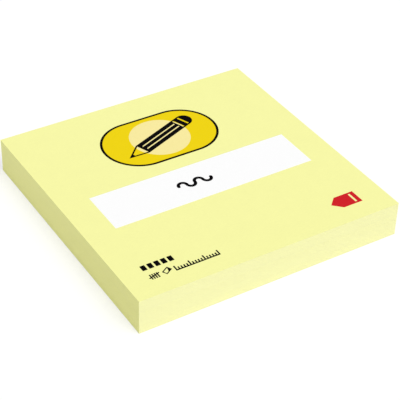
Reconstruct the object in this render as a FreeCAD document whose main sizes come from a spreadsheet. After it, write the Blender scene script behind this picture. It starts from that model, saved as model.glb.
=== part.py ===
import FreeCAD, Part
import math
import os
import Sketcher

# A pad of sticky notes, lying flat: backing sheet, block of notes, and a printed cover sheet on top.
# The origin is at the centre of the underside. X is the way the print reads, Y runs to the glued
# edge and Z is up. Each sub-part is a body of its own, drawn about its own origin and then placed.

# Driving sizes in millimetres, the tilts in degrees, and the counts
SIZES = (
    # Paper
    ("note_width", "76"),
    ("note_length", "76"),
    ("sheet_count", "100"),
    ("sheet_thickness", "0.097"),
    ("cover_thickness", "0.12"),
    ("backing_thickness", "0.16"),
    # Glue strips along the far edge
    ("glue_thickness", "0.01"),
    ("glue_width", "15"),
    ("glue_margin", "0.5"),
    # Film of ink that every printed field is made of
    ("ink_thickness", "0.02"),
    # Badge near the far edge
    ("badge_width", "34"),
    ("badge_height", "21"),
    ("badge_margin", "9.5"),
    ("rim_width", "0.7"),
    ("medallion_margin", "1.4"),
    # Pencil printed over the badge
    ("pencil_margin", "4"),
    ("pencil_thickness", "4.8"),
    ("pencil_tilt", "22"),
    ("point_length", "5.6"),
    ("lead_length", "2"),
    ("outline_width", "0.5"),
    ("highlight_width", "0.4"),
    ("highlight_offset", "0.8"),
    ("ferrule_length", "2.6"),
    ("ferrule_slot", "0.55"),
    # White band and the pen stroke printed over it
    ("band_margin", "8.45"),
    ("band_height", "14.2"),
    ("band_gap", "4.7"),
    ("stroke_waves", "2"),
    ("stroke_radius", "1.2"),
    ("stroke_width", "0.9"),
    ("stroke_shift", "2.4"),
    # Red flag in the near right corner
    ("flag_length", "8.2"),
    ("flag_height", "4.6"),
    ("flag_point", "2.4"),
    ("flag_slit", "0.6"),
    ("flag_side_margin", "7.4"),
    ("flag_front_margin", "5.5"),
    # Two lines of small black marks in the near left corner
    ("marks_side_margin", "6.2"),
    ("marks_front_margin", "5.2"),
    ("marks_height", "1.9"),
    ("line_gap", "1.9"),
    ("word_gap", "0.6"),
    ("patch_count", "5"),
    ("patch_width", "1.3"),
    ("patch_height", "1.9"),
    ("patch_gap", "0.55"),
    ("tally_strokes", "4"),
    ("tally_pitch", "0.62"),
    ("tally_line", "0.36"),
    ("icon_width", "2.3"),
    ("icon_height", "1.5"),
    ("icon_tilt", "31"),
    ("icon_line", "0.28"),
    ("icon_fold", "0.9"),
    ("ruler_divisions", "15"),
    ("ruler_pitch", "0.8"),
    ("ruler_line", "0.4"),
    ("short_tick", "1.2"),
    ("long_tick_step", "5"),
)

# Levels up through the stack
BACKING_TOP = "Sizes.backing_thickness"
BLOCK_BOTTOM = f"{BACKING_TOP} + Sizes.glue_thickness"
BLOCK_TOP = f"{BLOCK_BOTTOM} + Sizes.sheet_count * Sizes.sheet_thickness"
COVER_BOTTOM = f"{BLOCK_TOP} + Sizes.glue_thickness"
COVER_TOP = f"{COVER_BOTTOM} + Sizes.cover_thickness"
OVERPRINT_BOTTOM = f"{COVER_TOP} + Sizes.ink_thickness"

# Edges of the pad, and the lines that the print is set out from
LEFT_EDGE = "-Sizes.note_width / 2"
RIGHT_EDGE = "Sizes.note_width / 2"
NEAR_EDGE = "-Sizes.note_length / 2"
FAR_EDGE = "Sizes.note_length / 2"
BADGE_FRONT = f"{FAR_EDGE} - Sizes.badge_margin - Sizes.badge_height"
BADGE_CENTRE = f"{BADGE_FRONT} + Sizes.badge_height / 2"
BAND_CENTRE = f"{BADGE_FRONT} - Sizes.band_gap - Sizes.band_height / 2"
LOWER_LINE = f"{NEAR_EDGE} + Sizes.marks_front_margin"
UPPER_LINE = f"{LOWER_LINE} + Sizes.marks_height + Sizes.line_gap"
MARKS_LEFT = f"{LEFT_EDGE} + Sizes.marks_side_margin"
TALLY_LENGTH = "(Sizes.tally_strokes + 1) * Sizes.tally_pitch"
ICON_LEFT = f"{MARKS_LEFT} + {TALLY_LENGTH} + Sizes.word_gap"
ICON_CORNER = f"{ICON_LEFT} + Sizes.icon_height * sin(Sizes.icon_tilt)"
RULER_LEFT = f"{ICON_CORNER} + Sizes.icon_width * cos(Sizes.icon_tilt) + Sizes.word_gap"

doc = FreeCAD.newDocument("StickyNotePad")
sizes = doc.addObject("Spreadsheet::Sheet", "Sizes")


def fill_spreadsheet():
    """Write each driving size into the spreadsheet, under its own name."""
    for row, (name, number) in enumerate(SIZES, start=1):
        sizes.set(f"A{row}", name)
        sizes.set(f"B{row}", number)
        sizes.setAlias(f"B{row}", name)
    doc.recompute()


def value_of(expression):
    """The number that an expression of the driving sizes comes to."""
    return float(sizes.evalExpression(expression))


def new_body(name, x="0", y="0", z="0", tilt=None):
    """An empty sub-part, placed by expressions of the driving sizes."""
    body = doc.addObject("PartDesign::Body", name)
    body.Label = name
    body.setExpression("Placement.Base.x", x)
    body.setExpression("Placement.Base.y", y)
    body.setExpression("Placement.Base.z", z)
    if tilt:
        body.setExpression("Placement.Rotation.Angle", tilt)
    return body


def origin_feature(body, role):
    """One of a body's own origin planes or axes."""
    return next(feature for feature in body.Origin.OriginFeatures if feature.Role == role)


def new_sketch(body, name):
    """An empty sketch on the body's own ground plane."""
    sketch = body.newObject("Sketcher::SketchObject", name)
    sketch.AttachmentSupport = [(origin_feature(body, "XY_Plane"), "")]
    sketch.MapMode = "FlatFace"
    return sketch


def bind(sketch, name, expression, constraint):
    """Add a dimension to a sketch and tie it to the driving sizes."""
    number = sketch.addConstraint(constraint)
    sketch.renameConstraint(number, name)
    sketch.setExpression(f"Constraints.{name}", expression)


def fix_distance(sketch, kind, geometry, point, expression):
    """Fix how far a point lies from the sketch origin, along one axis.

    A line or an arc starts at its point 1 and ends at its point 2, and an arc or a circle has its
    centre at point 3. The sketch origin is point 1 of geometry -1.
    """
    distance = Sketcher.Constraint(kind, -1, 1, geometry, point, value_of(expression))
    bind(sketch, f"{kind}_{geometry}_{point}", expression, distance)


def half_circle(start, end):
    """The half circle that runs anticlockwise from start to end."""
    centre = (start + end) / 2
    spoke = start - centre
    turn = math.atan2(spoke.y, spoke.x)
    circle = Part.Circle(centre, FreeCAD.Vector(0, 0, 1), spoke.Length)
    return Part.ArcOfCircle(circle, turn, turn + math.pi)


def draw_outline(sketch, corners, bulges=(), hollows=()):
    """Draw a closed outline through corners, anticlockwise, each an x and a y expression.

    A side whose number is in bulges is a half circle outwards, and one in hollows is a half
    circle inwards. Such a side runs along X or Y, so one coordinate fixes its centre.
    """
    places = [FreeCAD.Vector(value_of(x), value_of(y), 0) for x, y in corners]
    sides = []
    for number, start in enumerate(places):
        end = places[(number + 1) % len(places)]
        if number in hollows:
            sides.append((sketch.addGeometry(half_circle(end, start), False), 2, 1))
        elif number in bulges:
            sides.append((sketch.addGeometry(half_circle(start, end), False), 1, 2))
        else:
            sides.append((sketch.addGeometry(Part.LineSegment(start, end), False), 1, 2))
    for number, (geometry, first_point, last_point) in enumerate(sides):
        following = (number + 1) % len(sides)
        next_geometry, next_point, _ = sides[following]
        joint = Sketcher.Constraint("Coincident", geometry, last_point, next_geometry, next_point)
        sketch.addConstraint(joint)
        x, y = corners[number]
        fix_distance(sketch, "DistanceX", geometry, first_point, x)
        fix_distance(sketch, "DistanceY", geometry, first_point, y)
        if number in bulges or number in hollows:
            if x == corners[following][0]:
                fix_distance(sketch, "DistanceX", geometry, 3, x)
            else:
                fix_distance(sketch, "DistanceY", geometry, 3, y)


def draw_rectangle(sketch, left, right, bottom, top):
    """Draw a rectangle between four expressions."""
    draw_outline(sketch, [(left, bottom), (right, bottom), (right, top), (left, top)])


def draw_circle(sketch, x, diameter):
    """Draw a circle on the X axis of the sketch."""
    centre = FreeCAD.Vector(value_of(x), 0, 0)
    circle = Part.Circle(centre, FreeCAD.Vector(0, 0, 1), value_of(diameter) / 2)
    geometry = sketch.addGeometry(circle, False)
    fix_distance(sketch, "DistanceX", geometry, 3, x)
    fix_distance(sketch, "DistanceY", geometry, 3, "0")
    size = Sketcher.Constraint("Diameter", geometry, value_of(diameter))
    bind(sketch, f"Diameter_{geometry}", diameter, size)


def draw_pill(sketch, width, height):
    """Draw a bar with round ends, centred on the sketch origin."""
    side = f"(({width}) - ({height})) / 2"
    rise = f"({height}) / 2"
    corners = [(f"-{side}", f"-{rise}"), (side, f"-{rise}"), (side, rise), (f"-{side}", rise)]
    draw_outline(sketch, corners, bulges=(1, 3))


def add_pad(body, sketch, name, thickness="Sizes.ink_thickness"):
    """Raise a sketch upwards into a layer."""
    layer = body.newObject("PartDesign::Pad", name)
    layer.Profile = sketch
    layer.setExpression("Length", thickness)
    return layer


def cut_window(body, sketch, name, thickness="Sizes.ink_thickness"):
    """Cut a sketch upwards through a layer, so that what lies beneath shows."""
    window = body.newObject("PartDesign::Pocket", name)
    window.Profile = sketch
    window.Reversed = True
    window.setExpression("Length", thickness)
    return window


def repeat_along_x(body, features, name, count, pitch):
    """Repeat features along X, count times in all."""
    row = body.newObject("PartDesign::LinearPattern", name)
    row.Originals = features
    row.Direction = (origin_feature(body, "X_Axis"), [""])
    row.setExpression("Occurrences", count)
    row.setExpression("Length", f"({count} - 1) * ({pitch})")
    body.Tip = row


def make_paper(name, level, thickness):
    """A layer of paper that covers the whole pad."""
    body = new_body(name, z=level)
    outline = new_sketch(body, f"{name}_outline")
    draw_rectangle(outline, LEFT_EDGE, RIGHT_EDGE, NEAR_EDGE, FAR_EDGE)
    add_pad(body, outline, f"{name}_layer", thickness)


def make_glue(name, level):
    """A strip of low-tack glue along the far edge."""
    body = new_body(name, z=level)
    outline = new_sketch(body, f"{name}_outline")
    left = f"{LEFT_EDGE} + Sizes.glue_margin"
    right = f"{RIGHT_EDGE} - Sizes.glue_margin"
    far = f"{FAR_EDGE} - Sizes.glue_margin"
    draw_rectangle(outline, left, right, f"{far} - Sizes.glue_width", far)
    add_pad(body, outline, f"{name}_layer", "Sizes.glue_thickness")


def make_white_band():
    """The white field across the pad that a title would stand on."""
    body = new_body("white_band", y=BAND_CENTRE, z=COVER_TOP)
    outline = new_sketch(body, "band_outline")
    left = f"{LEFT_EDGE} + Sizes.band_margin"
    right = f"{RIGHT_EDGE} - Sizes.band_margin"
    draw_rectangle(outline, left, right, "-Sizes.band_height / 2", "Sizes.band_height / 2")
    add_pad(body, outline, "band_layer")


def draw_half_ring(sketch, centre, above):
    """Draw half of the pen's ring about a point of the X axis, above or below it."""
    outer = "(Sizes.stroke_radius + Sizes.stroke_width / 2)"
    inner = "(Sizes.stroke_radius - Sizes.stroke_width / 2)"
    outer_right = f"{centre} + {outer}"
    outer_left = f"{centre} - {outer}"
    inner_left = f"{centre} - {inner}"
    inner_right = f"{centre} + {inner}"
    if above:
        across = (outer_right, outer_left, inner_left, inner_right)
    else:
        across = (outer_left, outer_right, inner_right, inner_left)
    draw_outline(sketch, [(x, "0") for x in across], bulges=(0,), hollows=(2,))


def make_pen_stroke():
    """A wavy pen stroke on the band: half rings by turns above and below its middle line."""
    wave = "4 * Sizes.stroke_radius"
    start = f"-Sizes.stroke_shift - Sizes.stroke_waves * {wave} / 2"
    body = new_body("pen_stroke", x=start, y=BAND_CENTRE, z=OVERPRINT_BOTTOM)
    crest_outline = new_sketch(body, "crest_outline")
    draw_half_ring(crest_outline, "Sizes.stroke_radius", above=True)
    crest = add_pad(body, crest_outline, "crest")
    trough_outline = new_sketch(body, "trough_outline")
    draw_half_ring(trough_outline, "3 * Sizes.stroke_radius", above=False)
    trough = add_pad(body, trough_outline, "trough")
    repeat_along_x(body, [crest, trough], "waves", "Sizes.stroke_waves", wave)
    ends_outline = new_sketch(body, "ends_outline")
    draw_circle(ends_outline, "0", "Sizes.stroke_width")
    draw_circle(ends_outline, f"Sizes.stroke_waves * {wave}", "Sizes.stroke_width")
    body.Tip = add_pad(body, ends_outline, "round_ends")


def make_badge():
    """The badge: a black rim, a gold field inside it and a pale medallion in the middle."""
    field_width = "Sizes.badge_width - 2 * Sizes.rim_width"
    field_height = "Sizes.badge_height - 2 * Sizes.rim_width"
    medallion = f"{field_height} - 2 * Sizes.medallion_margin"

    rim = new_body("badge_rim", y=BADGE_CENTRE, z=COVER_TOP)
    rim_outline = new_sketch(rim, "rim_outline")
    draw_pill(rim_outline, "Sizes.badge_width", "Sizes.badge_height")
    add_pad(rim, rim_outline, "rim_layer")
    rim_window = new_sketch(rim, "rim_window")
    draw_pill(rim_window, field_width, field_height)
    cut_window(rim, rim_window, "rim_opening")

    field = new_body("badge_field", y=BADGE_CENTRE, z=COVER_TOP)
    field_outline = new_sketch(field, "field_outline")
    draw_pill(field_outline, field_width, field_height)
    add_pad(field, field_outline, "field_layer")
    field_window = new_sketch(field, "field_window")
    draw_circle(field_window, "0", medallion)
    cut_window(field, field_window, "field_opening")

    disc = new_body("badge_medallion", y=BADGE_CENTRE, z=COVER_TOP)
    disc_outline = new_sketch(disc, "medallion_outline")
    draw_circle(disc_outline, "0", medallion)
    add_pad(disc, disc_outline, "medallion_layer")


def make_pencil_print():
    """A pencil printed across the badge, point to the left, with windows for its lighter parts."""
    half_length = "(Sizes.badge_width / 2 - Sizes.pencil_margin)"
    half_height = "(Sizes.pencil_thickness / 2)"
    tip = f"-{half_length}"
    shoulder = f"{tip} + Sizes.point_length"
    rubber = f"{half_length} - {half_height}"
    ferrule = f"{rubber} - Sizes.ferrule_length"
    body = new_body("pencil_print", y=BADGE_CENTRE, z=OVERPRINT_BOTTOM, tilt="Sizes.pencil_tilt")

    outline = new_sketch(body, "pencil_outline")
    below = f"-{half_height}"
    corners = [(tip, "0"), (shoulder, below), (rubber, below), (rubber, half_height)]
    draw_outline(outline, corners + [(shoulder, half_height)], bulges=(2,))
    add_pad(body, outline, "pencil_layer")

    # The wood between lead and paint narrows with the point, an outline's width inside it
    wood_end = f"({half_height} - Sizes.outline_width)"
    wood_start = f"({half_height} * Sizes.lead_length / Sizes.point_length - Sizes.outline_width)"
    lead = f"{tip} + Sizes.lead_length"
    wood = new_sketch(body, "wood_window")
    wood_below = [(lead, f"-{wood_start}"), (shoulder, f"-{wood_end}")]
    wood_above = [(shoulder, wood_end), (lead, wood_start)]
    draw_outline(wood, wood_below + wood_above)
    cut_window(body, wood, "wood_opening")

    # Two highlights run along the paint, the same way off the middle line
    highlights = new_sketch(body, "highlight_windows")
    left = f"{shoulder} + 2 * Sizes.outline_width"
    right = f"{ferrule} - Sizes.outline_width"
    for side in ("", "-"):
        middle = f"{side}Sizes.highlight_offset"
        bottom = f"{middle} - Sizes.highlight_width / 2"
        draw_rectangle(highlights, left, right, bottom, f"{middle} + Sizes.highlight_width / 2")
    cut_window(body, highlights, "highlight_openings")

    # The ferrule shows as two slots across, one at each end of its length
    slots = new_sketch(body, "ferrule_windows")
    for left in (ferrule, f"{rubber} - Sizes.ferrule_slot"):
        draw_rectangle(slots, left, f"{left} + Sizes.ferrule_slot", f"-{wood_end}", wood_end)
    body.Tip = cut_window(body, slots, "ferrule_openings")


def make_corner_flag():
    """The red index flag in the near right corner, its point to the left, with one slit."""
    right = f"{RIGHT_EDGE} - Sizes.flag_side_margin"
    middle = f"{NEAR_EDGE} + Sizes.flag_front_margin + Sizes.flag_height / 2"
    body = new_body("corner_flag", x=right, y=middle, z=COVER_TOP)
    tip = "-Sizes.flag_length"
    shoulder = f"{tip} + Sizes.flag_point"
    top = "Sizes.flag_height / 2"
    outline = new_sketch(body, "flag_outline")
    corners = [(tip, "0"), (shoulder, f"-{top}"), ("0", f"-{top}"), ("0", top), (shoulder, top)]
    draw_outline(outline, corners)
    add_pad(body, outline, "flag_layer")
    slit = new_sketch(body, "flag_window")
    slit_right = "-Sizes.flag_point / 2"
    end = f"({top} - Sizes.flag_slit)"
    draw_rectangle(slit, f"{slit_right} - Sizes.flag_slit", slit_right, f"-{end}", end)
    cut_window(body, slit, "flag_opening")


def make_patch_row():
    """The upper line of marks: a row of equal patches."""
    body = new_body("patch_row", x=MARKS_LEFT, y=UPPER_LINE, z=COVER_TOP)
    outline = new_sketch(body, "patch_outline")
    draw_rectangle(outline, "0", "Sizes.patch_width", "0", "Sizes.patch_height")
    patch = add_pad(body, outline, "patch")
    repeat_along_x(body, [patch], "patches", "Sizes.patch_count", "Sizes.patch_width + Sizes.patch_gap")


def make_tally_mark():
    """A tally that counts the notes: upright strokes, with one slanted across them."""
    body = new_body("tally_mark", x=MARKS_LEFT, y=LOWER_LINE, z=COVER_TOP)
    outline = new_sketch(body, "stroke_outline")
    left = "Sizes.tally_pitch - Sizes.tally_line / 2"
    draw_rectangle(outline, left, f"{left} + Sizes.tally_line", "0", "Sizes.marks_height")
    stroke = add_pad(body, outline, "stroke")
    repeat_along_x(body, [stroke], "strokes", "Sizes.tally_strokes", "Sizes.tally_pitch")
    slash_outline = new_sketch(body, "slash_outline")
    low = "Sizes.marks_height / 4"
    high = "3 * Sizes.marks_height / 4"
    corners = [("0", low), (TALLY_LENGTH, high), (TALLY_LENGTH, f"{high} + Sizes.tally_line")]
    draw_outline(slash_outline, corners + [("0", f"{low} + Sizes.tally_line")])
    body.Tip = add_pad(body, slash_outline, "slash")


def make_sheet_icon():
    """A small tilted sheet in outline, with the near right corner folded over."""
    body = new_body("sheet_icon", x=ICON_CORNER, y=LOWER_LINE, z=COVER_TOP, tilt="Sizes.icon_tilt")
    outline = new_sketch(body, "icon_outline")
    draw_rectangle(outline, "0", "Sizes.icon_width", "0", "Sizes.icon_height")
    add_pad(body, outline, "icon_layer")
    window = new_sketch(body, "icon_window")
    near = "Sizes.icon_line"
    right = "Sizes.icon_width - Sizes.icon_line"
    top = "Sizes.icon_height - Sizes.icon_line"
    fold = f"{right} - Sizes.icon_fold"
    draw_outline(window, [(near, near), (fold, near), (right, top), (near, top)])
    cut_window(body, window, "icon_opening")


def make_ruler_scale():
    """A short plain scale: a base line with short ticks, and a long tick at every few."""
    body = new_body("ruler_scale", x=RULER_LEFT, y=LOWER_LINE, z=COVER_TOP)
    base_outline = new_sketch(body, "base_outline")
    length = "Sizes.ruler_divisions * Sizes.ruler_pitch + Sizes.ruler_line"
    draw_rectangle(base_outline, "0", length, "0", "Sizes.ruler_line")
    add_pad(body, base_outline, "base_line")
    tick_outline = new_sketch(body, "tick_outline")
    draw_rectangle(tick_outline, "0", "Sizes.ruler_line", "0", "Sizes.short_tick")
    tick = add_pad(body, tick_outline, "tick")
    repeat_along_x(body, [tick], "ticks", "Sizes.ruler_divisions + 1", "Sizes.ruler_pitch")
    long_outline = new_sketch(body, "long_tick_outline")
    draw_rectangle(long_outline, "0", "Sizes.ruler_line", "0", "Sizes.marks_height")
    long_tick = add_pad(body, long_outline, "long_tick")
    long_count = "floor(Sizes.ruler_divisions / Sizes.long_tick_step) + 1"
    long_pitch = "Sizes.long_tick_step * Sizes.ruler_pitch"
    repeat_along_x(body, [long_tick], "long_ticks", long_count, long_pitch)


def check_model():
    """Stop if anything failed to build, or if a window cut nothing."""
    for item in doc.Objects:
        if "Invalid" in item.State or "Error" in item.State:
            raise RuntimeError(f"{item.Label} failed to build: {item.State}")
        if item.isDerivedFrom("PartDesign::Body") and (item.Shape.isNull() or not item.Shape.isValid()):
            raise RuntimeError(f"{item.Label} has no valid shape")
        if item.isDerivedFrom("PartDesign::Pocket"):
            if item.Shape.Volume >= item.BaseFeature.Shape.Volume:
                raise RuntimeError(f"{item.Label} cuts nothing")


def write_parts():
    """Write each sub-part to a file of its own."""
    os.makedirs("parts", exist_ok=True)
    for item in doc.Objects:
        if item.isDerivedFrom("PartDesign::Body"):
            item.Shape.exportStep(f"parts/{item.Label}.step")
            box = item.Shape.BoundBox
            print(f"{item.Label}: {len(item.Shape.Solids)} solid, {item.Shape.Volume:.3f} mm3,"
                  f" x {box.XMin:.3f} to {box.XMax:.3f}, y {box.YMin:.3f} to {box.YMax:.3f},"
                  f" z {box.ZMin:.3f} to {box.ZMax:.3f}")


fill_spreadsheet()
make_paper("backing_sheet", "0", "Sizes.backing_thickness")
make_glue("backing_glue", BACKING_TOP)
make_paper("note_block", BLOCK_BOTTOM, "Sizes.sheet_count * Sizes.sheet_thickness")
make_glue("cover_glue", BLOCK_TOP)
make_paper("cover_sheet", COVER_BOTTOM, "Sizes.cover_thickness")
make_badge()
make_pencil_print()
make_white_band()
make_pen_stroke()
make_corner_flag()
make_patch_row()
make_tally_mark()
make_sheet_icon()
make_ruler_scale()
doc.recompute()
check_model()
write_parts()
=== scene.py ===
import math
import random
from collections import namedtuple

import bmesh
import bpy
from mathutils import Matrix, Vector, noise


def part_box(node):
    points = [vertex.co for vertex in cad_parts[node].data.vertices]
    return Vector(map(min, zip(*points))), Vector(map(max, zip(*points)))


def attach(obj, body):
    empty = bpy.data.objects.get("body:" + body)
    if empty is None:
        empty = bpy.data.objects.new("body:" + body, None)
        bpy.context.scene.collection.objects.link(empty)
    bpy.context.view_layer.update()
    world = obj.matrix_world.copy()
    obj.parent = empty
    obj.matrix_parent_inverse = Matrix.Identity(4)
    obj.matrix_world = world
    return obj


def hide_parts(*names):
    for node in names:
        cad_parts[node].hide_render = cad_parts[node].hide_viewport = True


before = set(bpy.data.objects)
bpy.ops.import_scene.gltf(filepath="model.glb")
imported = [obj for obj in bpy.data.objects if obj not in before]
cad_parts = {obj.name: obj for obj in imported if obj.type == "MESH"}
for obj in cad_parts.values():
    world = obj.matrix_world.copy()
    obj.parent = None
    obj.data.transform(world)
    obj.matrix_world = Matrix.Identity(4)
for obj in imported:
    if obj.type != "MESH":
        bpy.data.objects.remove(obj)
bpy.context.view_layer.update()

# Lengths are in metres and angles in degrees, unless a name says otherwise
MM = 0.001

# Camera, as the photograph shows the pad
LENS_MM = 118.0
SENSOR_MM = 36.0
AZIMUTH = -32.45
ELEVATION = 36.86
ROLL = 1.63
TARGET_HEIGHT = 5.0 * MM
DISTANCE = 346.8 * MM
SLIDE_RIGHT = 1.63 * MM
SLIDE_UP = -3.70 * MM

# Light: an even world and one wide soft sun from the front
WORLD_LEVEL = 0.47
SUN_LEVEL = 2.0
SUN_AZIMUTH = 8.0
SUN_ELEVATION = 59.0
SUN_WIDTH = 50.0

# Floor: it lights the pad as pale paper would, and the camera sees a darker grey with a glow,
# which add up to white in the open and to a soft shadow beside the pad
FLOOR_SIZE = 3.0
FLOOR_DROP = 0.02 * MM
FLOOR_LEVEL = 0.9
FLOOR_SEEN = 0.55
FLOOR_GLOW = 0.47

# Stack of notes: cut edges a little out of line, with a shallow groove between each two.
# SHALLOWEST is the least groove's share of the full depth, GLUED_SHARE is what is left of the
# sheets' play where glue holds them, and CALM_END is the part of a side, from a corner on,
# over which its wave builds up.
STACK_SEED = 7
SHEET_COUNT = 100
GROOVE_HEIGHT = 0.044 * MM
GROOVE_DEPTH = 0.022 * MM
SHALLOWEST = 0.15
EDGE_INSET = 0.018 * MM
EDGE_WAVE = 0.008 * MM
SHEET_WAVE = 0.012 * MM
GLUED_SHARE = 0.25
SIDE_SEGMENTS = 24
CALM_END = 0.25
WAVES_PER_METRE = 70.0
WAVES_UPWARDS = 900.0
LIFT_NOISE_SHIFT = Vector((0.0, 0.0, 0.5))

# Paper: clouds of tone, and short fibres that lie in two directions
GRAIN_DETAIL = 3.0
GRAIN_ROUGHNESS = 0.6
CLOUD_SIZE = 5.0 * MM
CLOUD_RANGE = (0.3, 0.7)
CLOUD_SHARE = 0.25
FIBRE_WIDTH = 0.12 * MM
FIBRE_STRETCH = (7.0, 1.0, 1.0)
FIBRE_DETAIL = 2.0
FIBRE_TURNS = (34.0, -52.0)
FIBRE_RANGE = (0.4, 0.8)
ROUGHNESS_SWING = 0.06
RELIEF_HEIGHT = 0.004 * MM

# Cut edges: streaks along the sheets, and the marks of the knife across them
STREAK_WIDTH = 0.05 * MM
STREAK_STRETCH = (60.0, 60.0, 1.0)
STREAK_DETAIL = 2.0
LINE_SHARE = 0.35
KNIFE_WIDTH = 0.35 * MM
KNIFE_STRETCH = (1.0, 1.0, 80.0)
KNIFE_DETAIL = 4.0
KNIFE_RANGE = (0.3, 0.7)
KNIFE_SHARE = 0.3

# Colours, linear
COVER_YELLOW = (0.922, 0.922, 0.3695)
# The front of the stack is paler than its other sides: painted whiter light where the lamp falls on
# it, not a colour of the paper
FRONT_YELLOW_PAINTED_LIGHT = (0.890, 0.884, 0.461)
SIDE_YELLOW = (0.899, 0.898, 0.363)
BACKING_YELLOW = (0.89, 0.885, 0.47)
GLUE_CREAM = (0.88, 0.86, 0.66)
WHITE = (0.97, 0.97, 0.97)
GOLD = (0.86, 0.655, 0.005)
CREAM = (0.925, 0.81, 0.33)
BLACK = (0.0015, 0.001, 0.0015)
RED = (0.62, 0.012, 0.019)

# Materials: colour, how far its tones lie from it, roughness, specular level, strength of relief
Finish = namedtuple("Finish", "colour spread roughness specular relief")
FINISHES = {
    # The front's paper is the sides' paper made paler, as painted light
    "note_front_paper_painted_light": Finish(FRONT_YELLOW_PAINTED_LIGHT, 0.035, 0.75, 0.3, 0.5),
    "note_side_paper": Finish(SIDE_YELLOW, 0.035, 0.75, 0.3, 0.5),
    "cover_paper": Finish(COVER_YELLOW, 0.03, 0.65, 0.4, 0.8),
    "backing_release_paper": Finish(BACKING_YELLOW, 0.025, 0.4, 0.5, 0.5),
    "cover_glue_film": Finish(GLUE_CREAM, 0.05, 0.35, 0.5, 1.0),
    "backing_glue_film": Finish(GLUE_CREAM, 0.05, 0.35, 0.5, 1.0),
    "white_ink_film": Finish(WHITE, 0.012, 0.55, 0.3, 0.6),
    "gold_ink_film": Finish(GOLD, 0.02, 0.55, 0.03, 0.4),
    "cream_ink_film": Finish(CREAM, 0.015, 0.5, 0.3, 0.4),
    "red_ink_film": Finish(RED, 0.04, 0.55, 0.05, 0.4),
    "black_ink_film": Finish(BLACK, 0.2, 0.6, 0.012, 0.4),
}

# The CAD nodes that stay, under the material that each wears
DRESSED_NODES = {
    "cover_paper": ("cover_sheet",),
    "backing_release_paper": ("backing_sheet",),
    "cover_glue_film": ("cover_glue",),
    "backing_glue_film": ("backing_glue",),
    "white_ink_film": ("white_band",),
    "gold_ink_film": ("badge_field",),
    "cream_ink_film": ("badge_medallion",),
    "red_ink_film": ("corner_flag",),
    "black_ink_film": ("badge_rim", "pencil_print", "pen_stroke", "patch_row", "tally_mark",
                       "sheet_icon", "ruler_scale"),
}

# A point on the block's outline: its place, the way in from each side that it lies on,
# how much of the edge's wave it takes, and how freely the sheets lie there
BorderPoint = namedtuple("BorderPoint", "place ways wave_share looseness")


def add_object(name, data):
    """Add an object with its data to the scene."""
    added = bpy.data.objects.new(name, data)
    bpy.context.scene.collection.objects.link(added)
    return added


def add_node(tree, kind, inputs=None, **settings):
    """Add a shader node with its settings; an input, by name or number, is set or linked."""
    node = tree.nodes.new(kind)
    for name, value in settings.items():
        setattr(node, name, value)
    for name, value in (inputs or {}).items():
        socket = node.inputs[name]
        if isinstance(value, bpy.types.NodeSocket):
            tree.links.new(value, socket)
        else:
            socket.default_value = value
    return node


def calculate(tree, operation, *terms):
    """The result of one sum on values or sockets."""
    node = add_node(tree, "ShaderNodeMath", dict(enumerate(terms)), operation=operation)
    return node.outputs["Value"]


def grain(tree, size, stretch=(1.0, 1.0, 1.0), turn=0.0, detail=GRAIN_DETAIL):
    """Noise from 0 to 1 whose grains are about size across, stretched along turned axes."""
    place = add_node(tree, "ShaderNodeTexCoord").outputs["Object"]
    scale = tuple(1.0 / (size * part) for part in stretch)
    mapping = {"Vector": place, "Rotation": (0.0, 0.0, math.radians(turn)), "Scale": scale}
    vector = add_node(tree, "ShaderNodeMapping", mapping).outputs["Vector"]
    settings = {"Vector": vector, "Scale": 1.0, "Detail": detail, "Roughness": GRAIN_ROUGHNESS}
    return add_node(tree, "ShaderNodeTexNoise", settings).outputs["Fac"]


def spread_range(tree, value, ends):
    """Stretch a noise so that the first of two ends becomes 0 and the second becomes 1."""
    low, high = ends
    inputs = {"Value": value, "From Min": low, "From Max": high}
    return add_node(tree, "ShaderNodeMapRange", inputs).outputs["Result"]


def fibres(tree):
    """Short paper fibres, 1 on a fibre and 0 beside it."""
    layers = [grain(tree, FIBRE_WIDTH, FIBRE_STRETCH, turn, FIBRE_DETAIL) for turn in FIBRE_TURNS]
    return spread_range(tree, calculate(tree, "MAXIMUM", *layers), FIBRE_RANGE)


def scaled(colour, factor):
    """A colour made lighter or darker, with its alpha."""
    return tuple(min(channel * factor, 1.0) for channel in colour) + (1.0,)


def blend_colours(tree, factor, first, second):
    """A colour between two, by a factor from 0 to 1."""
    # This node's colour sockets share their names with its other types, so numbers tell them apart
    inputs = {0: factor, 6: first, 7: second}
    return add_node(tree, "ShaderNodeMix", inputs, data_type="RGBA").outputs[2]


def surface_material(name, tone=None):
    """Paper, or ink on it: cloudy colour, short fibres and a fine relief; tone adds a pattern."""
    finish = FINISHES[name]
    material = bpy.data.materials.new(name)
    material.use_nodes = True
    tree = material.node_tree
    shader = tree.nodes["Principled BSDF"]
    shader.inputs["Specular IOR Level"].default_value = finish.specular

    cloud = spread_range(tree, grain(tree, CLOUD_SIZE), CLOUD_RANGE)
    cloud = calculate(tree, "MULTIPLY", cloud, CLOUD_SHARE)
    fibre = fibres(tree)
    mottle = calculate(tree, "MULTIPLY_ADD", fibre, 1.0 - CLOUD_SHARE, cloud)
    if tone is not None:
        total = calculate(tree, "ADD", mottle, tone(tree))
        mottle = calculate(tree, "MULTIPLY", total, 0.5)
    darker = scaled(finish.colour, 1.0 - finish.spread)
    lighter = scaled(finish.colour, 1.0 + finish.spread)
    tree.links.new(blend_colours(tree, mottle, darker, lighter), shader.inputs["Base Color"])

    smoothest = finish.roughness - ROUGHNESS_SWING
    roughest = finish.roughness + ROUGHNESS_SWING
    inputs = {"Value": fibre, "To Min": smoothest, "To Max": roughest}
    roughness = add_node(tree, "ShaderNodeMapRange", inputs).outputs["Result"]
    tree.links.new(roughness, shader.inputs["Roughness"])

    inputs = {"Height": fibre, "Strength": finish.relief, "Distance": RELIEF_HEIGHT}
    normal = add_node(tree, "ShaderNodeBump", inputs).outputs["Normal"]
    tree.links.new(normal, shader.inputs["Normal"])
    return material


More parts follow.
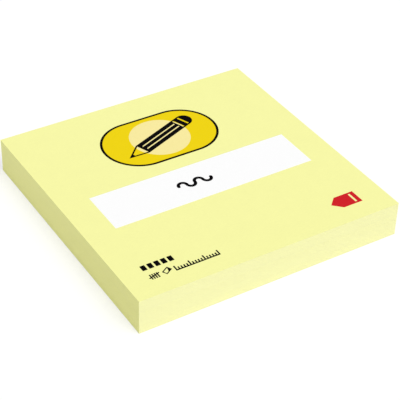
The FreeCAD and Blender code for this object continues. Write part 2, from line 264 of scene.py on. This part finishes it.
def sheet_tone(tree):
    """A tone for each sheet of the stack, with streaks along its cut edge and marks across it."""
    low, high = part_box("note_block")
    pitch = (high.z - low.z) / SHEET_COUNT
    place = add_node(tree, "ShaderNodeTexCoord").outputs["Object"]
    height = add_node(tree, "ShaderNodeSeparateXYZ", {"Vector": place}).outputs["Z"]
    position = calculate(tree, "DIVIDE", calculate(tree, "SUBTRACT", height, low.z), pitch)
    number = calculate(tree, "FLOOR", position)
    own = add_node(tree, "ShaderNodeTexWhiteNoise", {"W": number}, noise_dimensions="1D")
    streak = grain(tree, STREAK_WIDTH, STREAK_STRETCH, detail=STREAK_DETAIL)
    lines = calculate(tree, "ADD", own.outputs["Value"], streak)
    lines = calculate(tree, "MULTIPLY", lines, LINE_SHARE)
    knife = grain(tree, KNIFE_WIDTH, KNIFE_STRETCH, detail=KNIFE_DETAIL)
    marks = spread_range(tree, knife, KNIFE_RANGE)
    return calculate(tree, "MULTIPLY_ADD", marks, KNIFE_SHARE, lines)


def looseness(y, free_edge, glue_edge):
    """How freely the sheets lie: fully at the free edge, and less towards the glue."""
    share = min(1.0, (y - free_edge) / (glue_edge - free_edge))
    return 1.0 - (1.0 - GLUED_SHARE) * share


def border_points(low, high, glue_edge):
    """Points round the block's outline, anticlockwise from its near left corner."""
    outline = ((low.x, low.y), (high.x, low.y), (high.x, high.y), (low.x, high.y))
    corners = [Vector(corner) for corner in outline]
    sides = list(zip(corners, corners[1:] + corners[:1]))
    inwards = [Vector((start.y - end.y, end.x - start.x)).normalized() for start, end in sides]
    points = []
    for side, (start, end) in enumerate(sides):
        for step in range(SIDE_SEGMENTS):
            share = step / SIDE_SEGMENTS
            place = start.lerp(end, share)
            ways = {side: inwards[side]}
            if step == 0:
                ways[(side - 1) % len(sides)] = inwards[side - 1]
            wave_share = min(1.0, share / CALM_END, (1.0 - share) / CALM_END)
            loose = looseness(place.y, low.y, glue_edge)
            points.append(BorderPoint(place, ways, wave_share, loose))
    return points


def add_ring(mesh, border, height, insets, groove=0.0, lifted=True):
    """Add one ring of points round the stack: on a sheet's edge, in a groove, or flat at an end."""
    ring = []
    for point in border:
        sway = Vector((point.place.x, point.place.y, 0.0)) * WAVES_PER_METRE
        sway.z = height * WAVES_UPWARDS
        wave = point.wave_share * EDGE_WAVE * (1.0 + noise.noise(sway)) / 2.0
        place = point.place.copy()
        for side, way in point.ways.items():
            place += way * (insets[side] + wave + groove * point.looseness)
        lift = 0.0
        if lifted:
            lift = SHEET_WAVE * point.looseness * noise.noise(sway + LIFT_NOISE_SHIFT)
        ring.append(mesh.verts.new((place.x, place.y, height + lift)))
    return ring


def join_rings(mesh, lower, upper):
    """Add the wall between two rings, in the first of the two papers along the front, whose paler
    yellow is painted light, and in the second elsewhere.
    """
    for number in range(len(lower)):
        following = (number + 1) % len(lower)
        wall = mesh.faces.new((lower[number], lower[following], upper[following], upper[number]))
        # The front walls take the paler paper, which is painted light; the other sides take the
        # paper's own yellow
        wall.material_index = 0 if number < SIDE_SEGMENTS else 1


def make_note_sheets():
    """The stack of notes, whose cut sides show the edge of every sheet."""
    low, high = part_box("note_block")
    pitch = (high.z - low.z) / SHEET_COUNT
    border = border_points(low, high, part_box("cover_glue")[0].y)
    draw = random.Random(STACK_SEED)
    sheets = [[draw.uniform(0.0, EDGE_INSET) for _ in range(4)] for _ in range(SHEET_COUNT)]

    mesh = bmesh.new()
    rings = [add_ring(mesh, border, low.z, sheets[0], lifted=False)]
    for number in range(1, SHEET_COUNT):
        below, above = sheets[number - 1], sheets[number]
        between = [(one + other) / 2.0 for one, other in zip(below, above)]
        height = low.z + number * pitch
        depth_share = draw.uniform(SHALLOWEST, 1.0)
        # The deepest groove has the full height, and shallower ones are lower, down to half
        rise = GROOVE_HEIGHT / 2.0 * (1.0 + depth_share) / 2.0
        rings.append(add_ring(mesh, border, height - rise, below))
        rings.append(add_ring(mesh, border, height, between, groove=GROOVE_DEPTH * depth_share))
        rings.append(add_ring(mesh, border, height + rise, above))
    rings.append(add_ring(mesh, border, high.z, sheets[-1], lifted=False))
    for lower, upper in zip(rings, rings[1:]):
        join_rings(mesh, lower, upper)
    mesh.faces.new(list(reversed(rings[0])))
    mesh.faces.new(rings[-1])
    data = bpy.data.meshes.new("note_sheets")
    mesh.to_mesh(data)
    mesh.free()

    stack = add_object("note_sheets", data)
    # The first paper, for the front, is paler as painted light
    for name in ("note_front_paper_painted_light", "note_side_paper"):
        data.materials.append(surface_material(name, tone=sheet_tone))
    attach(stack, "root")
    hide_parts("note_block")


def dress_nodes():
    """Give each CAD node that stays its own paper, glue or ink."""
    for material_name, nodes in DRESSED_NODES.items():
        material = surface_material(material_name)
        for node in nodes:
            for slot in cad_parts[node].material_slots:
                slot.material = material


def grey(level):
    """A grey of one level, from 0 for black to 1 for white, with its alpha."""
    return (level, level, level, 1.0)


def seen_ray(tree):
    """1 for rays that the camera, a gloss or a clear material sends, and 0 for the rest."""
    path = add_node(tree, "ShaderNodeLightPath").outputs
    direct = calculate(tree, "MAXIMUM", path["Is Camera Ray"], path["Is Glossy Ray"])
    return calculate(tree, "MAXIMUM", direct, path["Is Transmission Ray"])


def make_floor():
    """A plain white floor that stays white around the pad's soft shadow."""
    half = FLOOR_SIZE / 2.0
    outline = ((-half, -half), (half, -half), (half, half), (-half, half))
    data = bpy.data.meshes.new("floor")
    data.from_pydata([(x, y, -FLOOR_DROP) for x, y in outline], [], [(0, 1, 2, 3)])
    floor = add_object("floor", data)
    material = bpy.data.materials.new("studio_floor")
    material.use_nodes = True
    tree = material.node_tree
    tree.nodes.remove(tree.nodes["Principled BSDF"])
    plain = add_node(tree, "ShaderNodeBsdfDiffuse", {"Color": grey(FLOOR_LEVEL)})
    dim = add_node(tree, "ShaderNodeBsdfDiffuse", {"Color": grey(FLOOR_SEEN)})
    glow = add_node(tree, "ShaderNodeEmission", {"Strength": FLOOR_GLOW})
    seen = add_node(tree, "ShaderNodeAddShader", {0: dim.outputs[0], 1: glow.outputs[0]})
    either = {0: seen_ray(tree), 1: plain.outputs[0], 2: seen.outputs[0]}
    mixed = add_node(tree, "ShaderNodeMixShader", either)
    tree.links.new(mixed.outputs[0], tree.nodes["Material Output"].inputs["Surface"])
    data.materials.append(material)


def make_world():
    """An even grey world that looks white to the camera."""
    world = bpy.data.worlds.new("studio")
    bpy.context.scene.world = world
    world.use_nodes = True
    tree = world.node_tree
    background = tree.nodes["Background"]
    background.inputs["Color"].default_value = grey(1.0)
    inputs = {"Value": seen_ray(tree), "To Min": WORLD_LEVEL, "To Max": 1.0}
    strength = add_node(tree, "ShaderNodeMapRange", inputs).outputs["Result"]
    tree.links.new(strength, background.inputs["Strength"])


def direction(azimuth, elevation):
    """The unit vector from the pad towards a viewpoint; azimuth 0 is straight in front."""
    turn, rise = math.radians(azimuth), math.radians(elevation)
    level = math.cos(rise)
    return Vector((math.sin(turn) * level, -math.cos(turn) * level, math.sin(rise)))


def make_sun():
    """The one lamp: wide, so that its shadow is soft."""
    data = bpy.data.lights.new("soft_sun", "SUN")
    data.energy = SUN_LEVEL
    data.angle = math.radians(SUN_WIDTH)
    sun = add_object("soft_sun", data)
    towards = direction(SUN_AZIMUTH, SUN_ELEVATION)
    sun.rotation_euler = towards.to_track_quat("Z", "Y").to_euler()


def make_camera():
    """The camera looks at the pad's middle from the photograph's angle."""
    data = bpy.data.cameras.new("camera")
    data.lens = LENS_MM
    data.sensor_width = SENSOR_MM
    camera = add_object("camera", data)
    back = direction(AZIMUTH, ELEVATION)
    right = Vector((0.0, 0.0, 1.0)).cross(back).normalized()
    up = back.cross(right)
    roll = math.radians(ROLL)
    rolled_right = right * math.cos(roll) + up * math.sin(roll)
    rolled_up = up * math.cos(roll) - right * math.sin(roll)
    target = Vector((0.0, 0.0, TARGET_HEIGHT))
    place = target + back * DISTANCE + rolled_right * SLIDE_RIGHT + rolled_up * SLIDE_UP
    axes = Matrix((rolled_right, rolled_up, back)).transposed()
    camera.matrix_world = Matrix.Translation(place) @ axes.to_4x4()
    bpy.context.scene.camera = camera


bpy.context.scene.view_settings.view_transform = "Standard"
make_note_sheets()
dress_nodes()
make_floor()
make_world()
make_sun()
make_camera()
